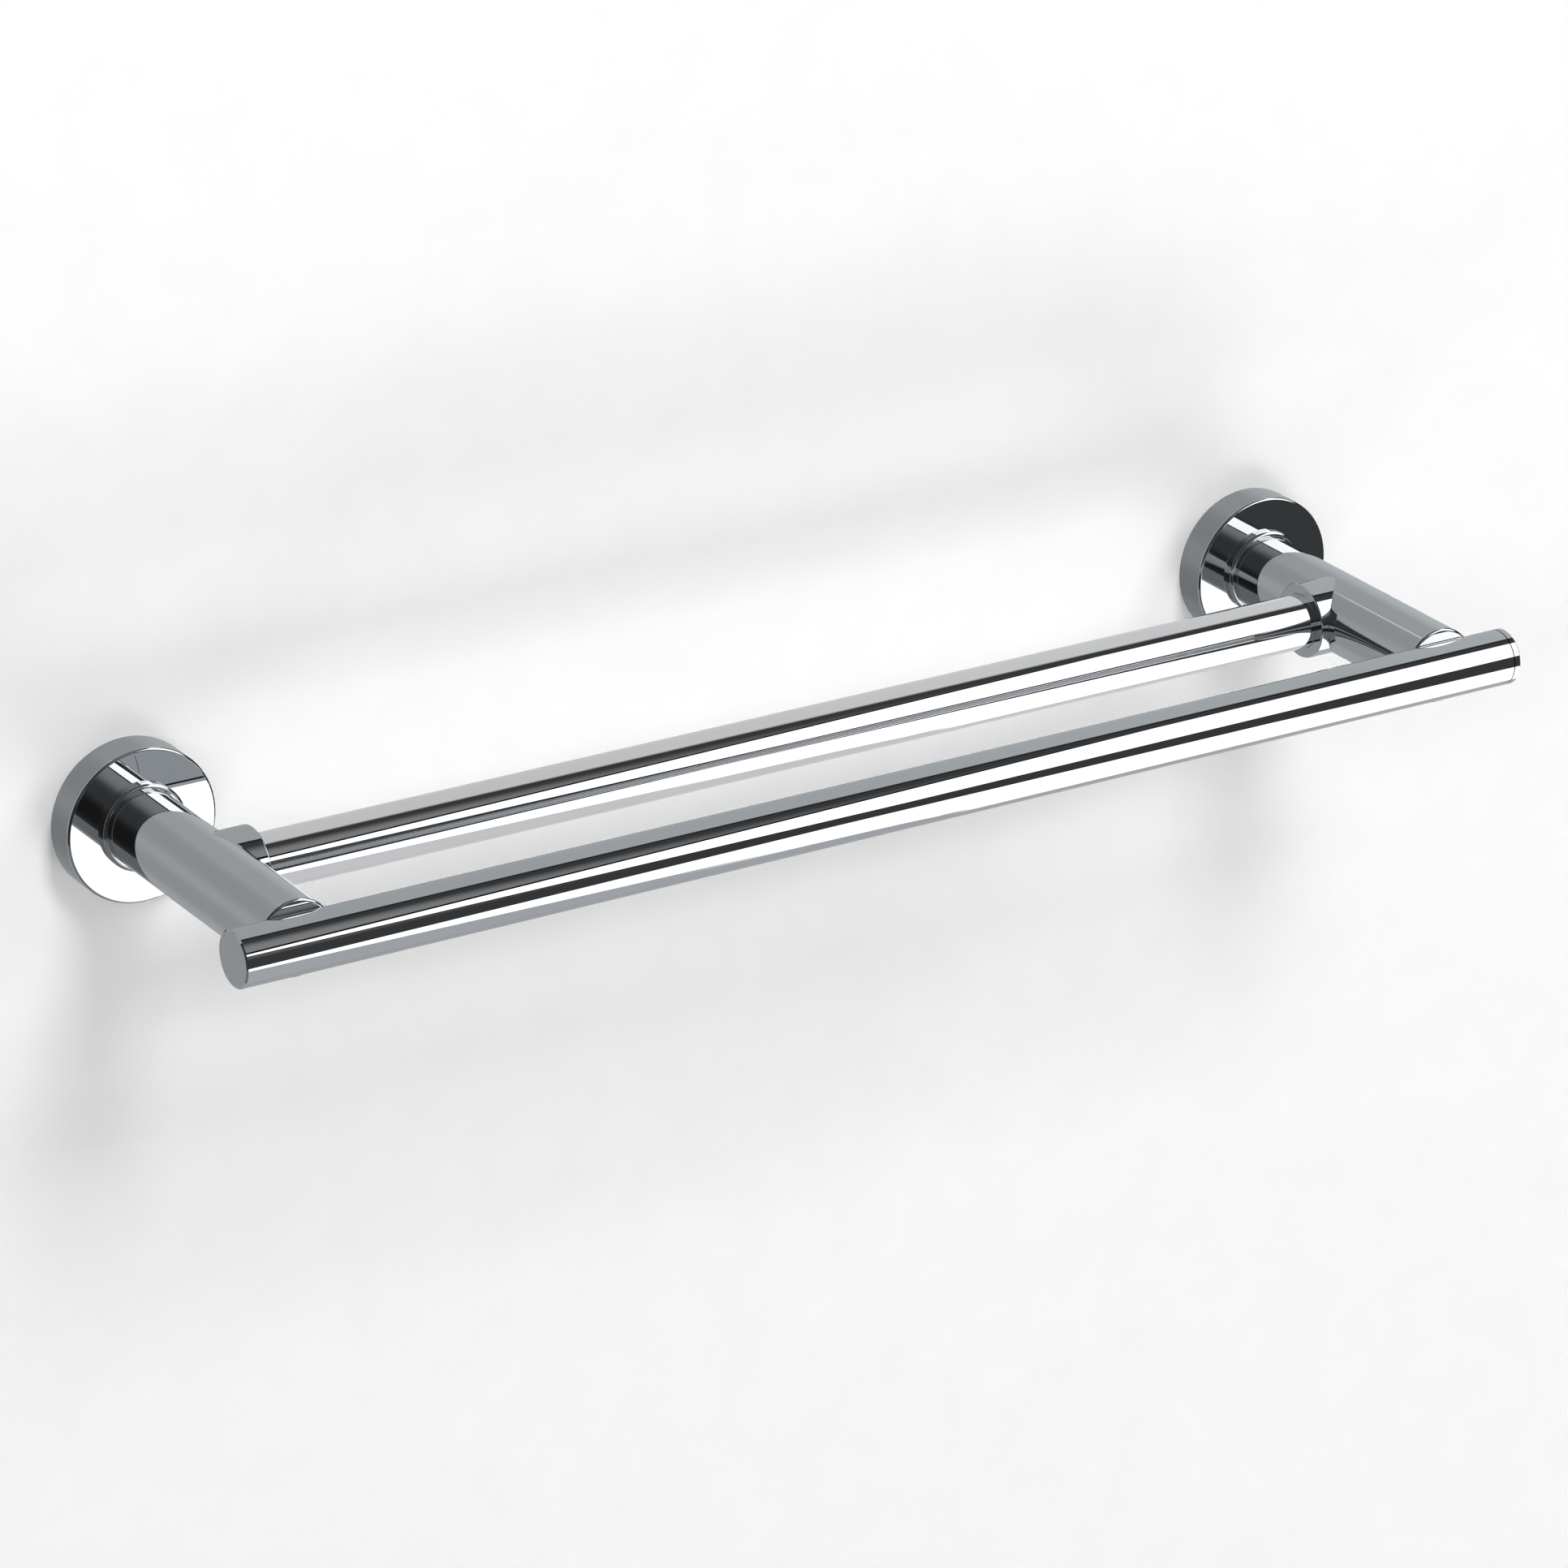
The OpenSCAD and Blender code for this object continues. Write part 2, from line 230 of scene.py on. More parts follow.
def outline(corners, closed=True, steps=4):
    """Runs round a section of (r, h, fillet radius, parts of the next side), the solid on the left."""
    count = len(corners)
    runs, ends = [], {}
    pts = [np.array(c[:2], float) for c in corners]
    for i, corner in enumerate(corners):
        fillet = corner[2]
        inner = closed or 0 < i < count - 1
        if fillet <= 0 or not inner:
            ends[i] = (pts[i], pts[i])
            continue
        back, on = pts[i - 1] - pts[i], pts[(i + 1) % count] - pts[i]
        back, on = back / np.linalg.norm(back), on / np.linalg.norm(on)
        half = math.acos(float(np.clip(back @ on, -1, 1))) / 2
        reach = fillet / math.tan(half)
        start, stop = pts[i] + back * reach, pts[i] + on * reach
        middle = pts[i] + (back + on) / np.linalg.norm(back + on) * fillet / math.sin(half)
        sign = 1.0 if (on[0] * back[1] - on[1] * back[0]) > 0 else -1.0
        a0 = math.atan2(*(start - middle)[::-1])
        a1 = math.atan2(*(stop - middle)[::-1])
        sweep = (a1 - a0 + math.pi) % TURN - math.pi
        run = []
        for k in range(steps + 1):
            a = a0 + sweep * k / steps
            run.append((middle[0] + fillet * math.cos(a), middle[1] + fillet * math.sin(a),
                        sign * math.cos(a), sign * math.sin(a)))
        ends[i] = (start, stop)
        runs.append(run)
    for i in range(count if closed else count - 1):
        p, q = ends[i][1], ends[(i + 1) % count][0]
        if np.linalg.norm(q - p) > 1e-9:
            runs.append(line(p, q, corners[i][3] if len(corners[i]) > 3 else 1))
    return runs


def punched(skin, a, b, surface, rows, columns, hole, rings=4, slot=0):
    """A grid of surface(a, b) with an opening: the cells inside rows x columns give way to rings of
    quads that run from that block's edge to the point hole(a, b) of each edge node."""
    p, n = surface(a, b)
    (i0, i1), (j0, j1) = rows, columns
    last_i, last_j = a.shape[0] - 1, a.shape[1] - 1
    for (r0, r1), (c0, c1) in (((0, i0), (0, last_j)), ((i1, last_i), (0, last_j)),
                               ((i0, i1), (0, j0)), ((i0, i1), (j1, last_j))):
        if r1 > r0 and c1 > c0:
            block = (slice(r0, r1 + 1), slice(c0, c1 + 1))
            skin.quads(p[block], n[block], slot)
    edge = ([(i0, j) for j in range(j0, j1)] + [(i, j1) for i in range(i0, i1)]
            + [(i1, j) for j in range(j1, j0, -1)] + [(i, j0) for i in range(i1, i0, -1)])
    edge.append(edge[0])
    ea = np.array([a[e] for e in edge])
    eb = np.array([b[e] for e in edge])
    ha, hb = hole(ea, eb)
    share = np.linspace(0, 1, rings + 1)[:, None]
    p, n = surface(ea + (ha - ea) * share, eb + (hb - eb) * share)
    skin.quads(p, n, slot)
    return ha, hb


def bridge(skin, outer, outer_turns, inner, inner_turns, normal, slot=0):
    """Triangles across the flat ring between two loops of points whose turns rise by one full turn."""
    i = j = 0
    while i < len(outer) - 1 or j < len(inner) - 1:
        if j == len(inner) - 1 or (i < len(outer) - 1 and outer_turns[i + 1] < inner_turns[j + 1]):
            near, far, across = outer[i], outer[i + 1], inner[j]
            i += 1
        else:
            near, far, across = inner[j], inner[j + 1], outer[i]
            j += 1
        skin.quads(np.array([[near, far], [across, across]]), normal, slot)


def band(skin, p0, p1, normal, steps=1, slot=0):
    """Quads between two loops of points; normal is one for all or one per loop point."""
    share = np.linspace(0, 1, steps + 1)[:, None, None]
    skin.quads(p0 + (p1 - p0) * share, normal, slot)


# ---------------------------------------------------------------------------
# Materials
# ---------------------------------------------------------------------------
class Nodes:
    """Builds the node tree of a material or of the world."""

    def __init__(self, owner, output="ShaderNodeOutputMaterial"):
        owner.use_nodes = True
        self.owner, self.tree = owner, owner.node_tree
        self.tree.nodes.clear()
        self.out = self.add(output)

    @classmethod
    def of_material(cls, name):
        return cls(bpy.data.materials.new(name))

    def add(self, kind, **values):
        node = self.tree.nodes.new(kind)
        for key, value in values.items():
            if key in node.inputs:
                node.inputs[key].default_value = value
            else:
                setattr(node, key, value)
        return node

    def link(self, source, target):
        self.tree.links.new(source, target)

    def noise(self, where, scale, detail=3.0, rough=0.5, stretch=None):
        """Noise over object coordinates in metres; stretch scales the axes first."""
        if stretch:
            mapping = self.add("ShaderNodeMapping", Scale=stretch)
            self.link(where, mapping.inputs["Vector"])
            where = mapping.outputs[0]
        node = self.add("ShaderNodeTexNoise", Scale=scale, Detail=detail, Roughness=rough)
        self.link(where, node.inputs["Vector"])
        return node.outputs["Fac"]

    def ramp(self, fac, stops):
        node = self.add("ShaderNodeValToRGB")
        ramp = node.color_ramp
        while len(ramp.elements) < len(stops):
            ramp.elements.new(0.5)
        for element, (place, colour) in zip(ramp.elements, stops):
            element.position = place
            element.color = (*colour, 1.0)
        self.link(fac, node.inputs["Fac"])
        return node.outputs["Color"]

    def spread(self, fac, low, high, frm=(0.0, 1.0)):
        """Maps the range frm to low..high."""
        node = self.add("ShaderNodeMapRange")
        for key, value in zip(("From Min", "From Max", "To Min", "To Max"), (*frm, low, high)):
            node.inputs[key].default_value = value
        self.link(fac, node.inputs["Value"])
        return node.outputs["Result"]

    def math(self, operation, a, b):
        node = self.add("ShaderNodeMath", operation=operation)
        for socket, value in zip(node.inputs, (a, b)):
            if isinstance(value, (int, float)):
                socket.default_value = value
            else:
                self.link(value, socket)
        return node.outputs[0]

    def times(self, a, b):
        return self.math("MULTIPLY", a, b)

    def less(self, a):
        """1 minus a."""
        return self.math("SUBTRACT", 1.0, a)

    def step(self, value, low, high):
        """A smooth step that rises while value goes from low to high."""
        node = self.add("ShaderNodeMapRange", interpolation_type="SMOOTHSTEP")
        node.inputs["From Min"].default_value = low
        node.inputs["From Max"].default_value = high
        self.link(value, node.inputs["Value"])
        return node.outputs["Result"]

    def toward(self, direction, aim, inner, outer):
        """1 where direction is within `inner` degrees of `aim`, 0 outside `outer`."""
        dot = self.add("ShaderNodeVectorMath", operation="DOT_PRODUCT")
        self.link(direction, dot.inputs[0])
        dot.inputs[1].default_value = Vector(aim).normalized()
        low, high = math.cos(math.radians(outer)), math.cos(math.radians(inner))
        return self.step(dot.outputs["Value"], low, high)

    def mix(self, fac, a, b):
        """Colour a where fac is 0, colour b where it is 1."""
        node = self.add("ShaderNodeMix", data_type="RGBA")
        self.link(fac, node.inputs["Factor"])
        for socket, value in ((node.inputs[6], a), (node.inputs[7], b)):
            if isinstance(value, tuple):
                socket.default_value = (*value, 1.0)
            else:
                self.link(value, socket)
        return node.outputs[2]


def grey(value, tint=(1.0, 1.0, 1.0)):
    return tuple(value * t for t in tint)


def metal(name, dark, light, rough, grain, bump):
    """Metal with a mottled tone, uneven roughness and a fine surface grain. grain is in 1/m."""
    m = Nodes.of_material(name)
    where = m.add("ShaderNodeTexCoord").outputs["Object"]
    shader = m.add("ShaderNodeBsdfPrincipled", Metallic=1.0)
    tone = m.noise(where, grain * 0.12, detail=4.0, rough=0.6)
    m.link(m.ramp(tone, [(0.32, dark), (0.68, light)]), shader.inputs["Base Color"])
    wear = m.noise(where, grain * 0.4, detail=5.0, rough=0.65)
    m.link(m.spread(wear, *rough, (0.3, 0.7)), shader.inputs["Roughness"])
    relief = m.add("ShaderNodeBump", Strength=bump, Distance=0.02 * MM)
    m.link(m.noise(where, grain, detail=4.0, rough=0.6), relief.inputs["Height"])
    m.link(relief.outputs["Normal"], shader.inputs["Normal"])
    m.link(shader.outputs[0], m.out.inputs["Surface"])
    return m.owner


CHROME_DARK = (0.770, 0.783, 0.800)
CHROME_LIGHT = (0.800, 0.812, 0.826)
CHROME_ROUGH = (0.012, 0.045)
RIM_SHADE = (0.42, 0.84)  # painted shade: the roses' rims are darkened, most at the bottom


def polished_chrome(name, shade=None):
    """Bright plated chrome: a mirror whose haze varies a little, with faint wiping streaks. shade
    paints shade onto a rose, darker towards the bottom, by its two values at the bottom and at the top."""
    m = Nodes.of_material(name)
    where = m.add("ShaderNodeTexCoord").outputs["Object"]
    shader = m.add("ShaderNodeBsdfPrincipled", Metallic=1.0)
    tone = m.noise(where, 22.0, detail=3.0, rough=0.55)
    colour = m.ramp(tone, [(0.3, CHROME_DARK), (0.7, CHROME_LIGHT)])
    if shade:
        height = m.add("ShaderNodeSeparateXYZ")
        m.link(where, height.inputs[0])
        darker = m.add("ShaderNodeVectorMath", operation="SCALE")
        m.link(colour, darker.inputs[0])
        m.link(m.spread(height.outputs[2], *shade, (-ROSE_R, ROSE_R)), darker.inputs["Scale"])
        colour = darker.outputs[0]
    m.link(colour, shader.inputs["Base Color"])
    haze = m.spread(m.noise(where, 38.0, detail=4.0, rough=0.6), 0.0, 1.0, (0.42, 0.72))
    wipe = m.spread(m.noise(where, 60.0, detail=5.0, rough=0.7, stretch=(0.25, 1.0, 2.2)),
                    0.0, 1.0, (0.45, 0.75))
    m.link(m.spread(m.times(haze, wipe), *CHROME_ROUGH), shader.inputs["Roughness"])
    m.link(shader.outputs[0], m.out.inputs["Surface"])
    return m.owner


CHROME = polished_chrome("chrome")
# chrome with painted shade for the roses' rims, darker towards the bottom
RIM_CHROME_PAINTED_SHADE = polished_chrome("chrome_rim_painted_shade", RIM_SHADE)
INSIDE = metal("chrome_inside", grey(0.50, (1, 0.98, 0.94)), grey(0.62, (1, 0.99, 0.96)),
               (0.28, 0.45), 2600.0, 0.35)
BRACKET = metal("bracket_zinc", grey(0.46, (1, 1.0, 1.03)), grey(0.62, (1, 1.01, 1.04)),
                (0.32, 0.52), 1800.0, 0.5)
STEEL = metal("fastener_steel", grey(0.50), grey(0.62), (0.22, 0.36), 2400.0, 0.3)
DARK_STEEL = metal("grub_steel", grey(0.20), grey(0.30), (0.28, 0.42), 2400.0, 0.3)
# painted shade: near-black metal on the bar ends and the caps' hidden faces, seen as the dark line in
# the open seam
RECESS_PAINTED_SHADE = metal("cap_recess_painted_shade", grey(0.05), grey(0.09), (0.35, 0.55), 2200.0, 0.3)
ZINC = metal("screw_zinc", (0.60, 0.60, 0.56), (0.74, 0.73, 0.66), (0.24, 0.38), 2200.0, 0.3)
BRASS = metal("insert_brass", (0.66, 0.50, 0.24), (0.78, 0.62, 0.34), (0.22, 0.36), 2000.0, 0.3)


# ---------------------------------------------------------------------------
# Pieces
# ---------------------------------------------------------------------------
def place(skin, name, node, materials, slot):
    piece = skin.build(name, materials)
    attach(piece, BODY)
    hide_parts(node)


def round_wall(axis, r, facing):
    """surface() of a round wall that faces away from the axis (facing 1) or towards it (-1)."""
    def surface(t, h):
        return axis.point(r, t, h), axis.normal(facing, t, 0 * h)
    return surface


def circle_hole(turn0, centre, radius, r):
    """hole() of a round opening in a round wall of radius r, at turn0 and `centre` along the axis."""
    def hole(t, h):
        around = np.arctan2(h - centre, (t - turn0) * r)
        return turn0 + radius * np.cos(around) / r, centre + radius * np.sin(around)
    return hole


def grub_wall(skin, axis, r, heights, facing, slot, rows, reach, centre):
    """A round wall with the hole of a grub screw in it, `centre` along the axis. Gives the loop round
    the hole."""
    middle = RING_COLUMNS // 2
    turns = np.broadcast_to(down_turns(), heights.shape)
    return punched(skin, turns, heights, round_wall(axis, r, facing), rows,
                   (middle - reach, middle + reach), circle_hole(DOWN, centre, GRUB_HOLE, r), slot=slot)


def radial_hole(skin, axis, walls, turn, centre, slot=0):
    """The wall of a radial hole. walls holds the loops round it in the outer and inner wall, by
    radius."""
    (outer_r, outer), (inner_r, inner) = walls.items()
    rim = axis.point(outer_r, *outer)
    spoke = axis.radial(np.array(turn))
    away = rim - (axis.o + centre * axis.c)
    away = away - (away @ spoke)[:, None] * spoke
    away /= np.linalg.norm(away, axis=1)[:, None]
    band(skin, rim, axis.point(inner_r, *inner), -away, steps=2, slot=slot)


def down_turns():
    return np.linspace(DOWN - math.pi, DOWN + math.pi, RING_COLUMNS + 1)


def make_rose(side):
    axis, skin, turns = out_axis(side), Skin(), down_turns()
    inner_r, inner_h = ROSE_R - ROSE_RIM, ROSE_T - ROSE_FRONT
    walls = {}
    # the outer wall takes slot 2, the chrome with painted shade that darkens towards the bottom
    for r, top, facing, slot in ((ROSE_R, [ROSE_LAST_RING, ROSE_T - ROSE_EDGE], 1.0, 2),
                                 (inner_r, [inner_h - CUP_FILLET], -1.0, 1)):
        heights = np.array(ROSE_RINGS + top)[:, None] + 0 * turns
        walls[r] = grub_wall(skin, axis, r, heights, facing, slot, (1, 5), 4, ROSE_GRUB_OUT)
    radial_hole(skin, axis, walls, DOWN, ROSE_GRUB_OUT)
    front = outline([(ROSE_R, ROSE_T - ROSE_EDGE, 0), (ROSE_R, ROSE_T, ROSE_EDGE),
                     (ROSE_BOLT_HOLE, ROSE_T, 0, 4)], closed=False, steps=10)
    revolve(skin, axis, front, turns)
    revolve(skin, axis, [line((ROSE_BOLT_HOLE, ROSE_T), (ROSE_BOLT_HOLE, inner_h))], turns, 1)
    back = outline([(ROSE_BOLT_HOLE, inner_h, 0, 3), (inner_r, inner_h, CUP_FILLET),
                    (inner_r, inner_h - CUP_FILLET, 0)], closed=False)
    revolve(skin, axis, back, turns, 1)
    rim = outline([(inner_r, FOOT_EDGE, 0), (inner_r, 0, FOOT_EDGE), (ROSE_R, 0, FOOT_EDGE),
                   (ROSE_R, FOOT_EDGE, 0)], closed=False, steps=2)
    revolve(skin, axis, rim, turns, 1)
    place(skin, "rose_skin_" + side, "rose_" + side, [CHROME, INSIDE, RIM_CHROME_PAINTED_SHADE], "chrome")


def make_bead(side):
    axis, skin = out_axis(side), Skin()
    inner, low, high = ARM_R + GAP, ROSE_T, ROSE_T + BEAD_L
    groove = inner + BEAD_GROOVE
    section = outline([(inner, low, 0), (BEAD_R, low, BEAD_EDGE), (BEAD_R, high, BEAD_ROUND),
                       (groove + BEAD_GROOVE_HALF, high, 0), (groove, high - BEAD_GROOVE_DEEP, 0),
                       (groove - BEAD_GROOVE_HALF, high - BEAD_STEP, BEAD_FINE),
                       (inner, high - BEAD_STEP, BEAD_FINE)], steps=10)
    revolve(skin, axis, section, full_turn(RING_COLUMNS))
    place(skin, "bead_skin_" + side, "base_ring_" + side, [CHROME], "chrome")


# ---- the arm: its free end is a saddle groove across a round edge ----
def groove_out(z):
    """Wall plane to the saddle groove's surface at height z."""
    return -FRONT_Y - np.sqrt(SADDLE_R ** 2 - z ** 2)


def groove_half(out):
    """Half height of the groove at a distance `out` from the wall plane."""
    return math.sqrt(SADDLE_R ** 2 - (-FRONT_Y - out) ** 2)


EDGE_OUT = ARM_END - ARM_EDGE  # wall plane to where the end's round edge starts
LIP_TURN = math.asin(groove_half(EDGE_OUT) / ARM_R)  # turn at which the groove meets that edge
EDGE_SWEEP = np.linspace(0, math.pi / 2, 7)
EDGE_R = ARM_R - ARM_EDGE + ARM_EDGE * np.cos(EDGE_SWEEP)
EDGE_H = EDGE_OUT + ARM_EDGE * np.sin(EDGE_SWEEP)


def arm_turns():
    """Turns round the arm: the four places where the groove meets the end's edge are among them."""
    lip, half_turn = LIP_TURN, math.pi
    return np.concatenate([np.linspace(-lip, lip, LIP_POINTS)[:-1],
                           np.linspace(lip, half_turn - lip, END_POINTS)[:-1],
                           np.linspace(half_turn - lip, half_turn + lip, LIP_POINTS)[:-1],
                           np.linspace(half_turn + lip, TURN - lip, END_POINTS)])


def arm_wall(skin, axis, turns):
    """The outer wall up to the groove and the end's edge. Gives the rim of the rear bar's pocket."""
    near, far = REAR_OUT - POCKET_REACH, REAR_OUT + POCKET_REACH
    levels = np.concatenate([np.linspace(ROSE_T, near, 9), np.linspace(near, far, 13)[1:],
                             np.linspace(far, POCKET_TOP, 8)[1:]])
    rolled = np.concatenate([turns[:-1][-SEAM_SHIFT:] - TURN, turns[:-SEAM_SHIFT]])
    t, h = np.meshgrid(rolled, levels)
    outer = round_wall(axis, ARM_R, 1.0)

    def pocket(t, h):
        around = np.arctan2(t * ARM_R, h - REAR_OUT)
        return np.arcsin(SADDLE_R * np.sin(around) / ARM_R), REAR_OUT + SADDLE_R * np.cos(around)

    reach = 9
    columns = (int(np.argmin(np.abs(rolled + LIP_TURN))) - reach,
               int(np.argmin(np.abs(rolled - LIP_TURN))) + reach)
    rim = punched(skin, t, h, outer, (8, 20), columns, pocket, rings=3)

    z, half = ARM_R * np.sin(turns), groove_half(EDGE_OUT)
    top = np.where(np.abs(z) < half, groove_out(np.clip(z, -half, half)), EDGE_OUT)
    last = levels[-1] + (top - levels[-1]) * np.linspace(0, 1, 5)[:, None]
    skin.quads(*outer(np.broadcast_to(turns, last.shape), last))
    return axis.point(ARM_R, *rim)


def arm_pocket(skin, axis, rim):
    """The pocket's wall and bottom."""
    edge = rim.copy()
    edge[:, 0] = axis.o[0] + axis.a[0] * REAR_BAR_POCKET
    hub = axis.o + axis.a * REAR_BAR_POCKET + axis.c * REAR_OUT
    inward = (hub - edge) / np.linalg.norm(hub - edge, axis=1)[:, None]
    band(skin, rim, edge, inward, 2, 1)
    band(skin, edge, hub, axis.a, 3, 1)


def arm_end(skin, axis):
    """The round edge and the flat crescent inside it, above and below the groove."""
    starts = np.array([math.asin(groove_half(h) / r) for r, h in zip(EDGE_R, EDGE_H)])[:, None]
    along = np.linspace(0, 1, END_POINTS)
    r, h, sweep = EDGE_R[:, None], EDGE_H[:, None], EDGE_SWEEP[:, None]
    for start, up in ((0.0, 1), (math.pi, -1)):
        t = start + (starts + (math.pi - 2 * starts) * along)
        skin.quads(axis.point(r, t, h), axis.normal(np.cos(sweep), t, np.sin(sweep)))
        x0, x1 = EDGE_R[-1] * np.cos(t[-1][[0, -1]])
        chord_x, chord_z = x0 + (x1 - x0) * along, groove_half(ARM_END) * up
        chord = axis.o + chord_x[:, None] * axis.a + chord_z * axis.b + ARM_END * axis.c
        band(skin, axis.point(EDGE_R[-1], t[-1], EDGE_H[-1]), chord, axis.c, 5)


def arm_saddle(skin, axis):
    """The groove for the front bar. Gives the rim of its screw's hole, as points and turns."""
    side_z = ARM_R * np.sin(np.linspace(-LIP_TURN, LIP_TURN, LIP_POINTS))
    tip_z = np.array([groove_half(h) for h in EDGE_H[1:]])
    rows_z = np.concatenate([-tip_z[::-1], side_z, tip_z])
    rows_r = np.concatenate([EDGE_R[1:][::-1], np.full(LIP_POINTS, ARM_R), EDGE_R[1:]])
    half_x = np.sqrt(rows_r ** 2 - rows_z ** 2)
    grid_x = half_x[:, None] * np.linspace(-1, 1, END_POINTS)
    grid_z = np.broadcast_to(rows_z[:, None], grid_x.shape)

    def saddle(x, z):
        h = groove_out(z)
        p = axis.o + x[..., None] * axis.a + z[..., None] * axis.b + h[..., None] * axis.c
        away = ((-FRONT_Y - h)[..., None] * axis.c - z[..., None] * axis.b) / SADDLE_R
        return p, away

    def screw_hole(x, z):
        around = np.arctan2(z, x)
        return SADDLE_HOLE * np.cos(around), SADDLE_HOLE * np.sin(around)

    row, column, reach = len(rows_z) // 2, END_POINTS // 2, 12
    x, z = punched(skin, grid_x, grid_z, saddle, (row - reach, row + reach),
                   (column - reach, column + reach), screw_hole, rings=3, slot=1)
    return saddle(x, z)[0], np.arctan2(z, x)


def arm_web(skin, axis, turns, rim, rim_turns):
    """The wall of the saddle screw's hole, and the back of the web round it."""
    base = axis.point(SADDLE_HOLE, rim_turns, WEB_OUT)
    band(skin, rim, base, -axis.radial(rim_turns), 2, 1)
    around = (rim_turns[:-1] + LIP_TURN) % TURN - LIP_TURN
    order = np.argsort(around)
    order = np.append(order, order[0])
    around = np.append(around[order[:-1]], around[order[0]] + TURN)
    bridge(skin, axis.point(ARM_BORE, turns, WEB_OUT), turns, base[order], around, -axis.c, 1)


def make_arm(side):
    axis, skin, turns = out_axis(side), Skin(), arm_turns()
    arm_pocket(skin, axis, arm_wall(skin, axis, turns))
    revolve(skin, axis, [line((ARM_BORE, ROSE_T), (ARM_R, ROSE_T), 3),
                         line((ARM_BORE, WEB_OUT), (ARM_BORE, ROSE_T), 4)], turns, 1)
    arm_end(skin, axis)
    arm_web(skin, axis, turns, *arm_saddle(skin, axis))
    place(skin, "arm_skin_" + side, "arm_" + side, [CHROME, INSIDE], "chrome")


# ---- the collar that holds the rear bar: its root is cut to the round of the arm ----
def cope(r, t):
    """Arm axis to the root of the collar, at radius r and turn t."""
    return np.sqrt(ARM_R ** 2 - (r * np.sin(t)) ** 2)


def socket_root(skin, axis, side, turns):
    """The coped end, and the small bevel round it."""
    root_r = SOCKET_R - COPE_EDGE
    r_grid = root_r + (SADDLE_R - root_r) * np.linspace(0, 1, 4)[:, None]
    p = axis.point(r_grid, turns, cope(r_grid, turns))
    p[0] = axis.point(root_r, turns, cope(SOCKET_R, turns))
    z = p[..., 2]
    n = np.stack([-SIDES[side] * np.sqrt(ARM_R ** 2 - z ** 2) / ARM_R, 0 * z, -z / ARM_R], -1)
    skin.quads(p, n, 1)
    slope = math.sqrt(0.5)
    bevel = np.stack([axis.point(SOCKET_R, turns, cope(SOCKET_R, turns) + COPE_EDGE), p[0]])
    skin.quads(bevel, axis.normal(slope, turns, -slope))


def make_socket(side):
    axis, skin, turns = along_axis(ARM_X[side], REAR_Y, SIDES[side]), Skin(), down_turns()
    grub_h = SOCKET_MOUTH - SOCKET_GRUB_BACK
    near = np.array([0.0, 0.35, 0.7, 1.0])[:, None]
    far = np.array([0.25, 0.5, 0.75, 1.0])[:, None]
    walls = {}
    for r, bevel, end, facing, slot in ((SOCKET_R, COPE_EDGE, SOCKET_MOUTH - SOCKET_EDGE, 1.0, 0),
                                        (SADDLE_R, 0.0, SOCKET_MOUTH - SOCKET_LIP, -1.0, 1)):
        start = cope(r, turns) + bevel
        knee = np.clip(start + SHORT_RING, grub_h - GRUB_REACH, end - 2 * SHORT_RING)
        heights = np.concatenate([start + (knee - start) * near, knee + (end - knee) * far])
        walls[r] = grub_wall(skin, axis, r, heights, facing, slot, (3, 7), 7, grub_h)
    radial_hole(skin, axis, walls, DOWN, grub_h)
    mouth = outline([(SOCKET_R, SOCKET_MOUTH - SOCKET_EDGE, 0), (SOCKET_R, SOCKET_MOUTH, SOCKET_EDGE),
                     (SADDLE_R, SOCKET_MOUTH, SOCKET_LIP), (SADDLE_R, SOCKET_MOUTH - SOCKET_LIP, 0)],
                    closed=False, steps=5)
    revolve(skin, axis, mouth, turns)
    socket_root(skin, axis, side, turns)
    place(skin, "socket_skin_" + side, "rear_socket_" + side, [CHROME, INSIDE], "chrome")


def bar_half(skin, axis, r, facing, slot, end, hole_at):
    """One half of a bar's wall, from its middle to `end`, with a screw hole towards the wall."""
    near, far = hole_at - BAR_HOLE_REACH, hole_at + BAR_HOLE_REACH
    levels = np.concatenate([np.linspace(0.0, near, 17)[:-1], np.linspace(near, far, 9), [end]])
    h, t = np.meshgrid(levels, full_turn(BAR_COLUMNS), indexing="ij")
    middle, reach = BAR_COLUMNS // 2, BAR_HOLE_COLUMNS
    return punched(skin, t, h, round_wall(axis, r, facing), (16, 24), (middle - reach, middle + reach),
                   circle_hole(math.pi, hole_at, SADDLE_HOLE, r), slot=slot)


def make_bar(name, node, y, half, hole_at=None):
    skin, turns, inner = Skin(), full_turn(BAR_COLUMNS), BAR_R - BAR_WALL
    for sign in (1.0, -1.0):
        axis, walls = along_axis(0.0, y, sign), {}
        for r, facing, slot in ((BAR_R, 1.0, 0), (inner, -1.0, 1)):
            if hole_at:
                walls[r] = bar_half(skin, axis, r, facing, slot, half, hole_at)
            else:
                wall = [(r, h, facing, 0.0) for h in np.linspace(0, half, 17)]
                revolve(skin, axis, [wall], turns, slot)
        if hole_at:
            radial_hole(skin, axis, walls, math.pi, hole_at, 1)
        # the bar's end face takes slot 2, the near-black painted shade of the seam behind the cap
        revolve(skin, axis, [line((BAR_R, half), (inner, half))], turns, 2)
    place(skin, name, node, [CHROME, INSIDE, RECESS_PAINTED_SHADE], "chrome")


